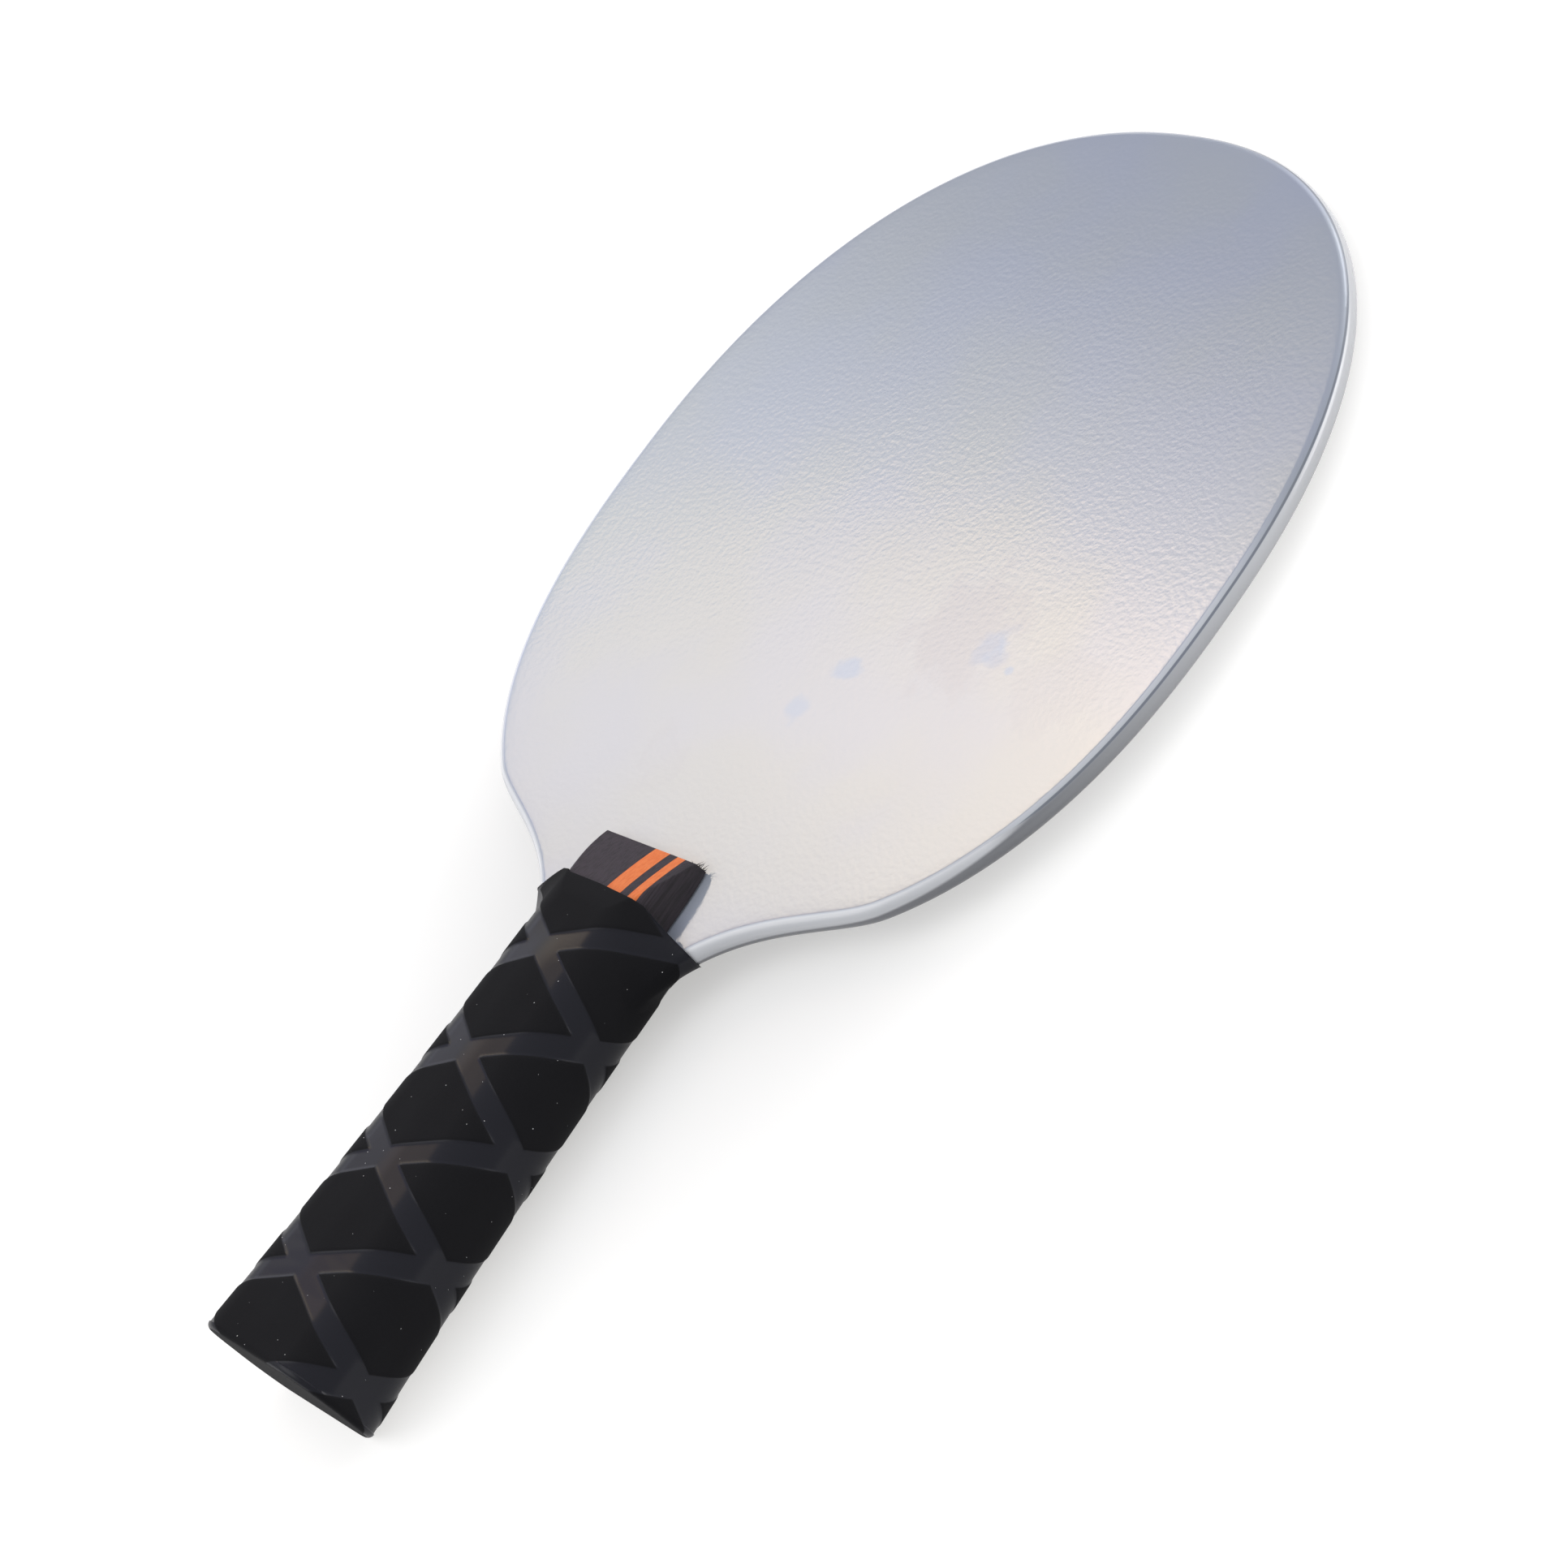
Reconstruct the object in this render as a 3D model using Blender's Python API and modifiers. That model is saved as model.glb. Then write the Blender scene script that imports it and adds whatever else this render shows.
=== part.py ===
"""Table tennis racket with a solid metal blade, for swing practice without rubbers.

The blade is one plate with a full tang. Two wooden scales, each glued up from five strips,
are bonded to the front and the back of the tang. A tight grip sleeve covers them and is closed
over the butt.

Units are metres. Sizes along the racket are measured from the widest line of the head:
+Y runs to the tip, -Y to the butt, +X to the right and +Z out of the front face.
The whole racket hangs from one empty that puts the middle of its length at the origin.
"""

import math

import bmesh
import bpy
import numpy as np

# Blade
BLADE_WIDTH = 0.1500
BLADE_THICKNESS = 0.0040
BLADE_EDGE_RADIUS = 0.0018
BLADE_EDGE_FLAT = 0.0002
HEAD_TOP = 0.0858
HEAD_BOTTOM = 0.0819
TOP_FULLNESS = 2.21
BOTTOM_FULLNESS = 2.43
SHOULDER_ANGLE = math.radians(51)
SHOULDER_PULL = 0.0123
NECK_PULL = 0.0330
NECK_UNDER_SCALES = 0.0383
NECK_AIM_WIDTH = 0.0247

# Wooden handle
SCALES_INTO_HEAD = 0.0109
HANDLE_LENGTH = 0.10125
HANDLE_FRONT_WIDTH = 0.0282
HANDLE_BUTT_WIDTH = 0.0339
HANDLE_FRONT_THICKNESS = 0.0174
HANDLE_BUTT_THICKNESS = 0.0200
FRONT_CORNER_RADIUS = 0.0089
BUTT_CORNER_RADIUS = 0.0080
FLARE_POWER = 2.0
FRONT_TAPER = 0.0009
FRONT_TAPER_LENGTH = 0.0045
NOSE_HEIGHT = 0.0021
NOSE_LENGTH = 0.0144
NOSE_POWER = 1.4

# Strips of one scale, measured to the right of its middle line
WIDE_STRIPE_START = 0.00147
WIDE_STRIPE = 0.00383
STRIPE_SPACING = 0.00205
NARROW_STRIPE = 0.00205
STRIP_GLUE_LINE = 0.00005

# Glue film between the tang and a scale
FILM_THICKNESS = 0.0002
FILM_CLEARANCE = 0.00005
FILM_INSET = 0.0006

# Grip sleeve
SLEEVE_WALL = 0.0004
SLEEVE_CLEARANCE = 0.0001
MOUTH_SETBACK = 0.0104
MOUTH_DRAW = 0.31
MOUTH_DRAW_START = 0.0113
MOUTH_BLEND = 0.0300
SLEEVE_END_WALL = 0.0010
RIM_ROUND = 0.0012

# How finely round shapes are cut up
HEAD_STEPS = 22
SHOULDER_STEPS = 11
NECK_STEPS = 20
TANG_STEPS = 5
EDGE_SEGMENTS = 4
NOSE_STEPS = 7
MOUTH_STEPS = 9
MOUTH_CROWDING = 1.5
MOUTH_PASSES = 3
FLARE_STEPS = 7
RIM_STEPS = 4
EDGE_LEVELS = 5
CORNER_LEVELS = 8
TANGENTS = 180
DENSE = 12

WELD_DISTANCE = 0.00001
FLAT_ANGLE = math.radians(0.1)
SMOOTH_ANGLE = math.radians(35)
EDGE_ANGLE = math.radians(60)

# Sizes that follow from those above
EDGE_ROUND = min(BLADE_EDGE_RADIUS, BLADE_THICKNESS / 2 - BLADE_EDGE_FLAT)
HANDLE_START = HEAD_BOTTOM - SCALES_INTO_HEAD
SEAT_HEIGHT = BLADE_THICKNESS / 2 + FILM_THICKNESS + 2 * FILM_CLEARANCE
HANDLE_END = HANDLE_START + HANDLE_LENGTH
RACKET_END = HANDLE_END + SLEEVE_CLEARANCE + SLEEVE_END_WALL
MOUTH = HANDLE_START + MOUTH_SETBACK
NECK_END = HANDLE_START + NECK_UNDER_SCALES
NOSE_END = HANDLE_START + NOSE_LENGTH
MIDDLE_SHIFT = (RACKET_END - HEAD_TOP) / 2


def flare(y):
    """How far along its flare the handle is at y: 0 at the scales' front, 1 at the butt."""
    along = np.clip((-y - HANDLE_START) / HANDLE_LENGTH, 0, None)
    return along**FLARE_POWER


def flared(front, butt, y):
    """A size that grows from its value at the scales' front to its value at the butt."""
    return front + (butt - front) * flare(y)


def wood_half_width(y):
    """Half the handle's width: the flared width less a short taper towards the front end."""
    behind = np.clip(-y - HANDLE_START, 0, None)
    taper = FRONT_TAPER * np.exp(-behind / FRONT_TAPER_LENGTH)
    return flared(HANDLE_FRONT_WIDTH / 2, HANDLE_BUTT_WIDTH / 2, y) - taper


def wood_half_thickness(y):
    return flared(HANDLE_FRONT_THICKNESS / 2, HANDLE_BUTT_THICKNESS / 2, y)


def corner_circle(y):
    """The radius of the handle's rounded corners, and where their centre lies across and up."""
    radius = flared(FRONT_CORNER_RADIUS, BUTT_CORNER_RADIUS, y)
    return radius, wood_half_width(y) - radius, wood_half_thickness(y) - radius


def nose_limit(y):
    """The height that the nose leaves of the wood at y: it runs up in a curve to the full height."""
    drop = HANDLE_FRONT_THICKNESS / 2 - SEAT_HEIGHT - NOSE_HEIGHT
    ahead = np.clip((y + NOSE_END) / NOSE_LENGTH, 0, 1)
    return wood_half_thickness(y) - drop * ahead**NOSE_POWER


def superellipse(angle, half_width, half_height, fullness):
    """Points of a superellipse quarter: angle 0 is at the side, a right angle at the end."""
    power = 2 / fullness
    x = half_width * np.abs(np.cos(angle)) ** power
    y = half_height * np.abs(np.sin(angle)) ** power
    return np.stack([x, y], axis=1)


def superellipse_heading(angle, half_width, half_height, fullness):
    """The direction in which a superellipse runs at this angle, as the angle grows."""
    power = 2 / fullness
    x = -half_width * math.cos(angle) ** (power - 1) * math.sin(angle)
    y = half_height * math.sin(angle) ** (power - 1) * math.cos(angle)
    return np.array([x, y]) / math.hypot(x, y)


def cubic(start, start_pull, end_pull, end, steps):
    """A cubic curve from start to end, without its first point."""
    u = np.linspace(0, 1, steps + 1)[1:, None]
    curve = (1 - u) ** 3 * start + 3 * (1 - u) ** 2 * u * start_pull
    return curve + 3 * (1 - u) * u**2 * end_pull + u**3 * end


def right_outline(finer=1):
    """The right half of the blade's outline, from the tip to the end of the tang."""
    half = BLADE_WIDTH / 2
    top_angles = np.linspace(math.pi / 2, 0, HEAD_STEPS * finer + 1)
    top = superellipse(top_angles, half, HEAD_TOP, TOP_FULLNESS)
    bottom_angles = np.linspace(0, SHOULDER_ANGLE, SHOULDER_STEPS * finer + 1)
    bottom = superellipse(bottom_angles, half, HEAD_BOTTOM, BOTTOM_FULLNESS) * (1, -1)
    shoulder = bottom[-1]
    heading = superellipse_heading(SHOULDER_ANGLE, half, HEAD_BOTTOM, BOTTOM_FULLNESS) * (1, -1)
    shoulder_pull = shoulder + heading * SHOULDER_PULL
    neck_end = np.array([NECK_AIM_WIDTH / 2, -NECK_END])
    neck_pull = neck_end + (0, NECK_PULL)
    neck = cubic(shoulder, shoulder_pull, neck_pull, neck_end, NECK_STEPS * finer)
    neck[:, 0] = np.maximum(neck[:, 0], wood_half_width(neck[:, 1]))
    tang_y = np.linspace(-NECK_END, -HANDLE_END, TANG_STEPS * finer + 1)[1:]
    tang = np.stack([wood_half_width(tang_y), tang_y], axis=1)
    return np.concatenate([top, bottom[1:], neck, tang])


def blade_half_width(y):
    """The blade's half width at any y behind the widest line."""
    outline = right_outline(DENSE)
    lower = outline[outline[:, 1] <= 0]
    return np.interp(-y, -lower[:, 1], lower[:, 0])


def levels():
    """Heights round a section as shares of its top: close together at the blade's rounded edge."""
    top = HANDLE_FRONT_THICKNESS / 2
    edge_top = BLADE_THICKNESS / 2 + SLEEVE_CLEARANCE
    edge_turn = np.linspace(0, math.pi / 2, EDGE_LEVELS)
    edge = edge_top - EDGE_ROUND * (1 - np.sin(edge_turn))
    corner_turn = np.linspace(0, math.pi / 2, CORNER_LEVELS + 1)[1:]
    corner = edge_top + (top - edge_top) * np.sin(corner_turn)
    above = np.concatenate([edge, corner]) / top
    return np.concatenate([-above[::-1], above])


def wood_side(height, y):
    """The wooden handle's half width at this height: a rectangle's with widely rounded corners."""
    radius, across, up = corner_circle(y)
    into_corner = np.clip(np.abs(height) - up, 0, radius)
    return across + np.sqrt(radius**2 - into_corner**2)


def wood_reach(y, across, up):
    """How far the wood's section at y, cut level by the nose, reaches in the direction (across, up)."""
    radius, _, centre_up = corner_circle(y)
    height = np.clip(centre_up + radius * up, 0, nose_limit(y))
    return wood_side(height, y) * across + height * up


def blade_reach(y, across, up):
    """How far the blade's section at y reaches in the direction (across, up)."""
    x = blade_half_width(y) - EDGE_ROUND * (1 - across)
    z = BLADE_THICKNESS / 2 - EDGE_ROUND * (1 - up)
    return x * across + z * up


def stretched_side(height, y, offset):
    """The half width at this height of a skin stretched over the wood and the blade's edges.

    The skin stands off by the offset. Its section is where all its tangents leave room:
    x = least of (reach + offset - height * sin a) / cos a over the tangents' angles a.
    """
    angle = np.linspace(0, math.pi / 2, TANGENTS, endpoint=False)
    across, up = np.cos(angle), np.sin(angle)
    y = y[..., None]
    reach = np.maximum(wood_reach(y, across, up), blade_reach(y, across, up))
    return ((reach + offset[..., None] - np.abs(height)[..., None] * up) / across).min(axis=-1)


def collection(name):
    made = bpy.data.collections.new(name)
    bpy.context.scene.collection.children.link(made)
    return made


def paint(name, colour, roughness, metallic=0.0):
    material = bpy.data.materials.new(name)
    material.use_nodes = True
    shader = material.node_tree.nodes["Principled BSDF"]
    shader.inputs["Base Color"].default_value = (*colour, 1)
    shader.inputs["Roughness"].default_value = roughness
    shader.inputs["Metallic"].default_value = metallic
    return material


def place(name, data, material, group, racket):
    """Adds an object to its collection, hung from the racket's empty."""
    made = bpy.data.objects.new(name, data)
    group.objects.link(made)
    made.parent = racket
    if material:
        data.materials.append(material)
    return made


def round_off(mesh):
    mesh.shade_smooth()
    mesh.set_sharp_from_angle(angle=SMOOTH_ANGLE)


def grid_mesh(name, points):
    """A mesh over a grid of points: each row is a ring, and the first and last ring are filled."""
    rows, columns = points.shape[:2]
    index = np.arange(rows * columns).reshape(rows, columns)
    right = np.roll(index, -1, axis=1)
    quads = np.stack([index[:-1], index[1:], right[1:], right[:-1]], axis=-1)
    faces = quads.reshape(-1, 4).tolist()
    faces += [index[0].tolist(), index[-1, ::-1].tolist()]
    mesh = bpy.data.meshes.new(name)
    mesh.from_pydata(points.reshape(-1, 3).tolist(), [], faces)
    shape = bmesh.new()
    shape.from_mesh(mesh)
    bmesh.ops.recalc_face_normals(shape, faces=shape.faces)
    shape.to_mesh(mesh)
    shape.free()
    return mesh


def plate(name, outline, thickness, height, material, group, racket):
    """A flat plate with this outline, its middle at this height."""
    flat = bpy.data.curves.new(name, "CURVE")
    flat.dimensions = "2D"
    flat.fill_mode = "BOTH"
    flat.extrude = thickness / 2
    edge = flat.splines.new("POLY")
    edge.points.add(len(outline) - 1)
    for point, (x, y) in zip(edge.points, outline):
        point.co = (x, y, 0, 1)
    edge.use_cyclic_u = True
    made = place(name, flat, material, group, racket)
    made.location.z = height
    weld = made.modifiers.new("Join caps", "WELD")
    weld.merge_threshold = WELD_DISTANCE
    return made


def blade(material, group, racket):
    right = right_outline()
    left = right[1:, :] * (-1, 1)
    outline = np.concatenate([right, left[::-1]])
    made = plate("blade", outline, BLADE_THICKNESS, 0, material, group, racket)
    whole = made.modifiers.new("Whole flat faces", "DECIMATE")
    whole.decimate_type = "DISSOLVE"
    whole.angle_limit = FLAT_ANGLE
    rounding = made.modifiers.new("Round the edge", "BEVEL")
    rounding.width = EDGE_ROUND
    rounding.segments = EDGE_SEGMENTS
    rounding.limit_method = "ANGLE"
    rounding.angle_limit = EDGE_ANGLE
    return made


def glue_film(name, side, material, group, racket):
    """The film that bonds a scale to the tang. side is 1 in front and -1 behind."""
    y = np.linspace(-HANDLE_START - FILM_INSET, -HANDLE_END + FILM_INSET, FLARE_STEPS + 1)
    right = np.stack([wood_half_width(y) - FILM_INSET, y], axis=1)
    outline = np.concatenate([right, right[::-1] * (-1, 1)])
    height = side * (BLADE_THICKNESS / 2 + FILM_CLEARANCE + FILM_THICKNESS / 2)
    return plate(name, outline, FILM_THICKNESS, height, material, group, racket)


def loft(name, x, y, z):
    """A mesh through sections symmetric about the middle plane. Each row holds the right side of one."""
    right = np.stack([x, y, z], axis=-1)
    left = right[:, ::-1] * (-1, 1, 1)
    return grid_mesh(name, np.concatenate([right, left], axis=1))


def handle_form(group, racket):
    """The outer form of the wooden handle: both scales and the tang. The strips are cut from it."""
    nose = np.linspace(-HANDLE_START, -NOSE_END, NOSE_STEPS + 1)
    grip = np.linspace(-NOSE_END, -HANDLE_END, FLARE_STEPS + 1)[1:]
    y = np.concatenate([nose, grip])[:, None]
    z = nose_limit(y) * levels()
    mesh = loft("handle_form", wood_side(z, y), y + 0 * z, z)
    form = place("handle_form", mesh, None, group, racket)
    form.hide_render = True
    form.display_type = "WIRE"
    return form


def strip(name, side, left, right, form, material, group, racket):
    """One strip of a scale, from left to right as seen from that scale's own side."""
    reach = max(HANDLE_BUTT_THICKNESS, HANDLE_FRONT_THICKNESS)
    across = sorted((side * left, side * right))
    up = sorted((side * SEAT_HEIGHT, side * reach))
    low = np.array([across[0], -HANDLE_END - reach, up[0]])
    high = np.array([across[1], -HANDLE_START + reach, up[1]])
    shape = bmesh.new()
    bmesh.ops.create_cube(shape, size=1)
    for corner in shape.verts:
        share = np.array(corner.co) + 0.5
        corner.co = low + (high - low) * share
    mesh = bpy.data.meshes.new(name)
    shape.to_mesh(mesh)
    shape.free()
    made = place(name, mesh, material, group, racket)
    cut = made.modifiers.new("Cut to the handle's form", "BOOLEAN")
    cut.operation = "INTERSECT"
    cut.solver = "EXACT"
    cut.object = form
    return made


def scale(prefix, side, form, woods, group, racket):
    """The five strips of one scale."""
    outside = max(HANDLE_BUTT_WIDTH, HANDLE_FRONT_WIDTH)
    wide_end = WIDE_STRIPE_START + WIDE_STRIPE
    narrow_start = wide_end + STRIPE_SPACING
    narrow_end = narrow_start + NARROW_STRIPE
    line = STRIP_GLUE_LINE / 2
    strips = (
        ("broad_dark_strip", -outside, WIDE_STRIPE_START, "dark"),
        ("wide_orange_strip", WIDE_STRIPE_START, wide_end, "orange"),
        ("middle_dark_strip", wide_end, narrow_start, "dark"),
        ("narrow_orange_strip", narrow_start, narrow_end, "orange"),
        ("edge_dark_strip", narrow_end, outside, "dark"),
    )
    for name, left, right, wood in strips:
        full_name = f"{prefix}_{name}"
        strip(full_name, side, left + line, right - line, form, woods[wood], group, racket)


def sleeve_rows():
    """The sleeve as rows of (y, offset from what it is stretched over).

    They run from the outside of its end round the rim, up the outside and down the inside.
    """
    outer = SLEEVE_CLEARANCE + SLEEVE_WALL
    end = -RACKET_END
    mouth = -MOUTH - MOUTH_BLEND * np.linspace(0, 1, MOUTH_STEPS) ** MOUTH_CROWDING
    grip = np.linspace(mouth[-1], end + RIM_ROUND, FLARE_STEPS)[1:]
    along = np.concatenate([mouth, grip])
    turn = np.linspace(math.pi / 2, 0, RIM_STEPS + 1)[:-1]
    rows = [
        (end + RIM_ROUND * (1 - math.sin(a)), outer - RIM_ROUND * (1 - math.cos(a))) for a in turn
    ]
    rows += [(y, outer) for y in along[::-1]]
    rows += [(y, SLEEVE_CLEARANCE) for y in along]
    rows += [(end + SLEEVE_END_WALL, SLEEVE_CLEARANCE)]
    return np.array(rows)


def grip_sleeve(material, group, racket):
    """The tight sleeve: stretched over the scales and the neck's edges, and closed over the butt.

    Its mouth is drawn back towards the neck's edges, by MOUTH_DRAW for each unit of x.
    """
    row_y, offset = sleeve_rows().T[:, :, None]
    height = (nose_limit(row_y) + offset) * levels()
    offset = offset + 0 * height
    y = row_y + 0 * height
    fade = np.clip(1 + (row_y + MOUTH) / MOUTH_BLEND, 0, 1)
    for _ in range(MOUTH_PASSES):
        x = stretched_side(height, y, offset)
        y = row_y - fade * MOUTH_DRAW * np.clip(x - MOUTH_DRAW_START, 0, None)
    mesh = loft("grip_sleeve", stretched_side(height, y, offset), y, height)
    round_off(mesh)
    return place("grip_sleeve", mesh, material, group, racket)


def main():
    for old in list(bpy.data.objects):
        bpy.data.objects.remove(old)
    parts = collection("table_tennis_racket")
    cutters = collection("cutters")
    racket = bpy.data.objects.new("racket", None)
    parts.objects.link(racket)
    racket.location.y = MIDDLE_SHIFT

    metal = paint("coated_metal", (0.55, 0.57, 0.60), 0.30, 0.6)
    glue = paint("glue", (0.045, 0.034, 0.028), 0.40)
    woods = {
        "dark": paint("dark_wood", (0.060, 0.055, 0.058), 0.60),
        "orange": paint("orange_wood", (0.80, 0.17, 0.03), 0.55),
    }
    rubber = paint("grip_rubber", (0.012, 0.012, 0.014), 0.75)

    blade(metal, parts, racket)
    form = handle_form(cutters, racket)
    for prefix, side in (("front", 1), ("back", -1)):
        glue_film(f"{prefix}_glue_film", side, glue, parts, racket)
        scale(prefix, side, form, woods, parts, racket)
    grip_sleeve(rubber, parts, racket)


main()
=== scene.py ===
# %% [markdown]
# # A solid metal practice racket
# This table tennis racket is made for swing training. Its blade is one thick coated metal plate
# with no rubber sheets on it. Two wooden scales are glued to the plate's tang, and a black sleeve
# is stretched over them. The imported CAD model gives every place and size. This script adds the
# surfaces and finishes that a close look shows.
# Units are metres. +Y runs to the tip, +X to the right and +Z out of the front face.

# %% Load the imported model
import math

import bmesh
import bpy
import numpy as np
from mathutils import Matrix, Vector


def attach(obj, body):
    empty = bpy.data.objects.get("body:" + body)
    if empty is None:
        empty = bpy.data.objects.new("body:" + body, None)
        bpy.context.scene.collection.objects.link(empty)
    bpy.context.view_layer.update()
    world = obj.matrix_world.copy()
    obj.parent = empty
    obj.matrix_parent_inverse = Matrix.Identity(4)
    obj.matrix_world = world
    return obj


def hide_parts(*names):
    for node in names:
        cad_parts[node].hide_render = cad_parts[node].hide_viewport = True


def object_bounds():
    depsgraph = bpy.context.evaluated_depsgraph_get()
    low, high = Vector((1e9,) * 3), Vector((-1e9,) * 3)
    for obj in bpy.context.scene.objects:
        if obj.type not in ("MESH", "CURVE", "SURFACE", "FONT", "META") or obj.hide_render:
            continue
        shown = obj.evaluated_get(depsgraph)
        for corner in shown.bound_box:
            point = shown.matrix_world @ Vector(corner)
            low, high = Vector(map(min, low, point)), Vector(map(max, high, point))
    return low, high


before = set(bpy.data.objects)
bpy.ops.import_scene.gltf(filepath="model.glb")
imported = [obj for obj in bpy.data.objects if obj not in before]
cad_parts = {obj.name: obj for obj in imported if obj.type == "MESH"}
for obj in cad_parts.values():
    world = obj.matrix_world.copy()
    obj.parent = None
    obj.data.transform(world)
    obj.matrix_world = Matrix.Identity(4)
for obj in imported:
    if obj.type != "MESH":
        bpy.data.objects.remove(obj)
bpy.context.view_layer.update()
print("CAD nodes:", sorted(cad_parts))

# %% [markdown]
# ## The camera
# A long lens looks down on the front face from beyond the right side of the handle. Its place and
# turn come from fitting the blade's known outline to the photograph, so the racket fills the same
# part of the frame. The focal length in pixels was 4800 for a frame 1932 pixels wide.

# %% Camera at the photograph's viewing angle
FRAME_PIXELS = 1932
FOCAL_PIXELS = 4800
camera_data = bpy.data.cameras.new("camera")
camera_data.sensor_width = 36
camera_data.lens = camera_data.sensor_width * FOCAL_PIXELS / FRAME_PIXELS
camera = bpy.data.objects.new("camera", camera_data)
camera.location = (0.484987, -0.158724, 0.380796)
camera.rotation_euler = (0.7599448, 0.5727046, 0.7429771)
bpy.context.scene.collection.objects.link(camera)
bpy.context.scene.camera = camera
print(f"lens {camera_data.lens:.1f} mm")

# %% [markdown]
# ## A mesh from rings of points
# Every piece here is a stack of rings: the edge of a plate, the section of a wooden strip or of a
# tube. numpy works out all the points at once as a grid, one row for each ring. One helper turns
# such a grid into a closed mesh. It measures the volume that its faces enclose, and turns them
# round if the volume comes out negative, so that faces always point outwards.

# %% Helper: closed mesh from rings
SHARP = math.radians(38)


def enclosed_volume(points, faces):
    """A sixth of the sum of a . (b x c) over the triangles (a, b, c) of quads or of a fan."""
    a, b, c = points[faces[:, 0]], points[faces[:, 1:-1]], points[faces[:, 2:]]
    return float(np.einsum("fk,ftk->", a, np.cross(b, c)) / 6)


def ring_corners(rings, columns):
    """The four (ring, column) corners of each quad between neighbouring rings."""
    ring, step = np.indices((rings - 1, columns)).reshape(2, -1, 1)
    return ring + (0, 1, 1, 0), step + (0, 0, 1, 1)


def ring_faces(points):
    """Quads between the rings, caps on both ends, and 1, or -1 if all corners were turned round."""
    rings, columns = points.shape[:2]
    ring, step = ring_corners(rings, columns)
    quads = ring * columns + step % columns
    caps = np.array([np.arange(columns), (rings - 1) * columns + np.arange(columns)[::-1]])
    flat = points.reshape(-1, 3)
    order = 1 if enclosed_volume(flat, quads) + enclosed_volume(flat, caps) > 0 else -1
    return quads[:, ::order], caps[:, ::order], order


def ring_mesh(name, points, uv=None):
    """A closed mesh through rings of points.

    uv holds one more column than the points, so that its pattern runs on across the seam.
    """
    rings, columns = points.shape[:2]
    quads, caps, order = ring_faces(points)
    mesh = bpy.data.meshes.new(name)
    mesh.from_pydata(points.reshape(-1, 3).tolist(), [], quads.tolist() + caps.tolist())
    if uv is not None:
        ring, step = ring_corners(rings, columns)
        sides = uv[ring, step][:, ::order].reshape(-1, 2)
        ends = uv[caps // columns, caps % columns].reshape(-1, 2)
        layer = mesh.uv_layers.new(name="wrap")
        layer.data.foreach_set("uv", np.concatenate([sides, ends]).astype(np.float32).ravel())
    mesh.shade_smooth()
    mesh.set_sharp_from_angle(angle=SHARP)
    return mesh


def piece(name, mesh, slot, *nodes):
    """Puts a finished mesh in the scene: it rides on the racket and stands for these CAD nodes."""
    made = bpy.data.objects.new(name, mesh)
    bpy.context.scene.collection.objects.link(made)
    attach(made, "root")
    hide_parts(*nodes)
    triangles = sum(len(face.vertices) - 2 for face in mesh.polygons)
    print(f"{name}: {len(mesh.vertices)} points, {triangles} triangles")
    return made


# %% [markdown]
# ## The handle's sides
# The handle flares towards the butt, and its front end was sanded a little narrower. Plate, wood
# and sleeve all follow these sides, so they come first, as two formulas for any place along the
# handle. Places count from the head's widest line, a little above the racket's middle.

# %% The handle's half width at any place
WIDEST_LINE = 0.043775
HANDLE_START = 0.0710
HANDLE_LENGTH = 0.10125
HANDLE_END = HANDLE_START + HANDLE_LENGTH
HANDLE_WIDTH = (0.0282, 0.0339)
FRONT_TAPER = (0.0009, 0.0045)


def flared(sizes, y):
    """front + (butt - front) * share^2, where the share is how far along the handle y is."""
    share = np.clip((-y - HANDLE_START) / HANDLE_LENGTH, 0, None)
    return sizes[0] + (sizes[1] - sizes[0]) * share**2


def wood_half_width(y):
    """Half the flared width, less depth * exp(-distance behind the front / length)."""
    depth, length = FRONT_TAPER
    return flared(HANDLE_WIDTH, y) / 2 - depth * np.exp(-np.clip(-y - HANDLE_START, 0, None) / length)


widths = 2000 * wood_half_width(np.array([-HANDLE_START, -HANDLE_END]))
print("wood's width in front and at the butt, mm:", np.round(widths, 1))

# %% [markdown]
# ## The plate's outline
# The head is two superellipse quarters, a blunter one above the widest line and a fuller one
# below it. At the shoulder a cubic curve takes over and swings inwards until it meets the sides
# of the wooden handle, which the tang then follows. Drawing it by hand as a Bezier curve would
# work too, but formulas give points at even steps, and the head comes out exactly symmetric.

# %% The right half of the outline
BLADE_WIDTH = 0.1500
HEAD_TOP = 0.0858
HEAD_BOTTOM = 0.0819
TOP_FULLNESS = 2.21
BOTTOM_FULLNESS = 2.43
SHOULDER_ANGLE = math.radians(51)
SHOULDER_PULL = 0.0123
NECK_PULL = 0.0330
NECK_END = 0.1093
NECK_AIM = 0.01235
OUTLINE_STEP = 0.0009
TOP_SAMPLES = 1500
SIDE_SAMPLES = 800


def superellipse(angle, height, fullness):
    """x = half width times cos(angle)^(2/n), y = height times sin(angle)^(2/n)."""
    x = BLADE_WIDTH / 2 * np.abs(np.cos(angle)) ** (2 / fullness)
    y = height * np.abs(np.sin(angle)) ** (2 / fullness)
    return np.stack([x, y], axis=1)


def neck_curve(start, heading, u):
    """The cubic Bezier curve from the shoulder to the tang, at shares u of its length."""
    end = np.array([NECK_AIM, -NECK_END])
    pulls = (start, start + heading * SHOULDER_PULL, end + (0, NECK_PULL), end)
    weights = ((1 - u) ** 3, 3 * (1 - u) ** 2 * u, 3 * (1 - u) * u**2, u**3)
    return sum(weight[:, None] * pull for weight, pull in zip(weights, pulls))


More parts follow.
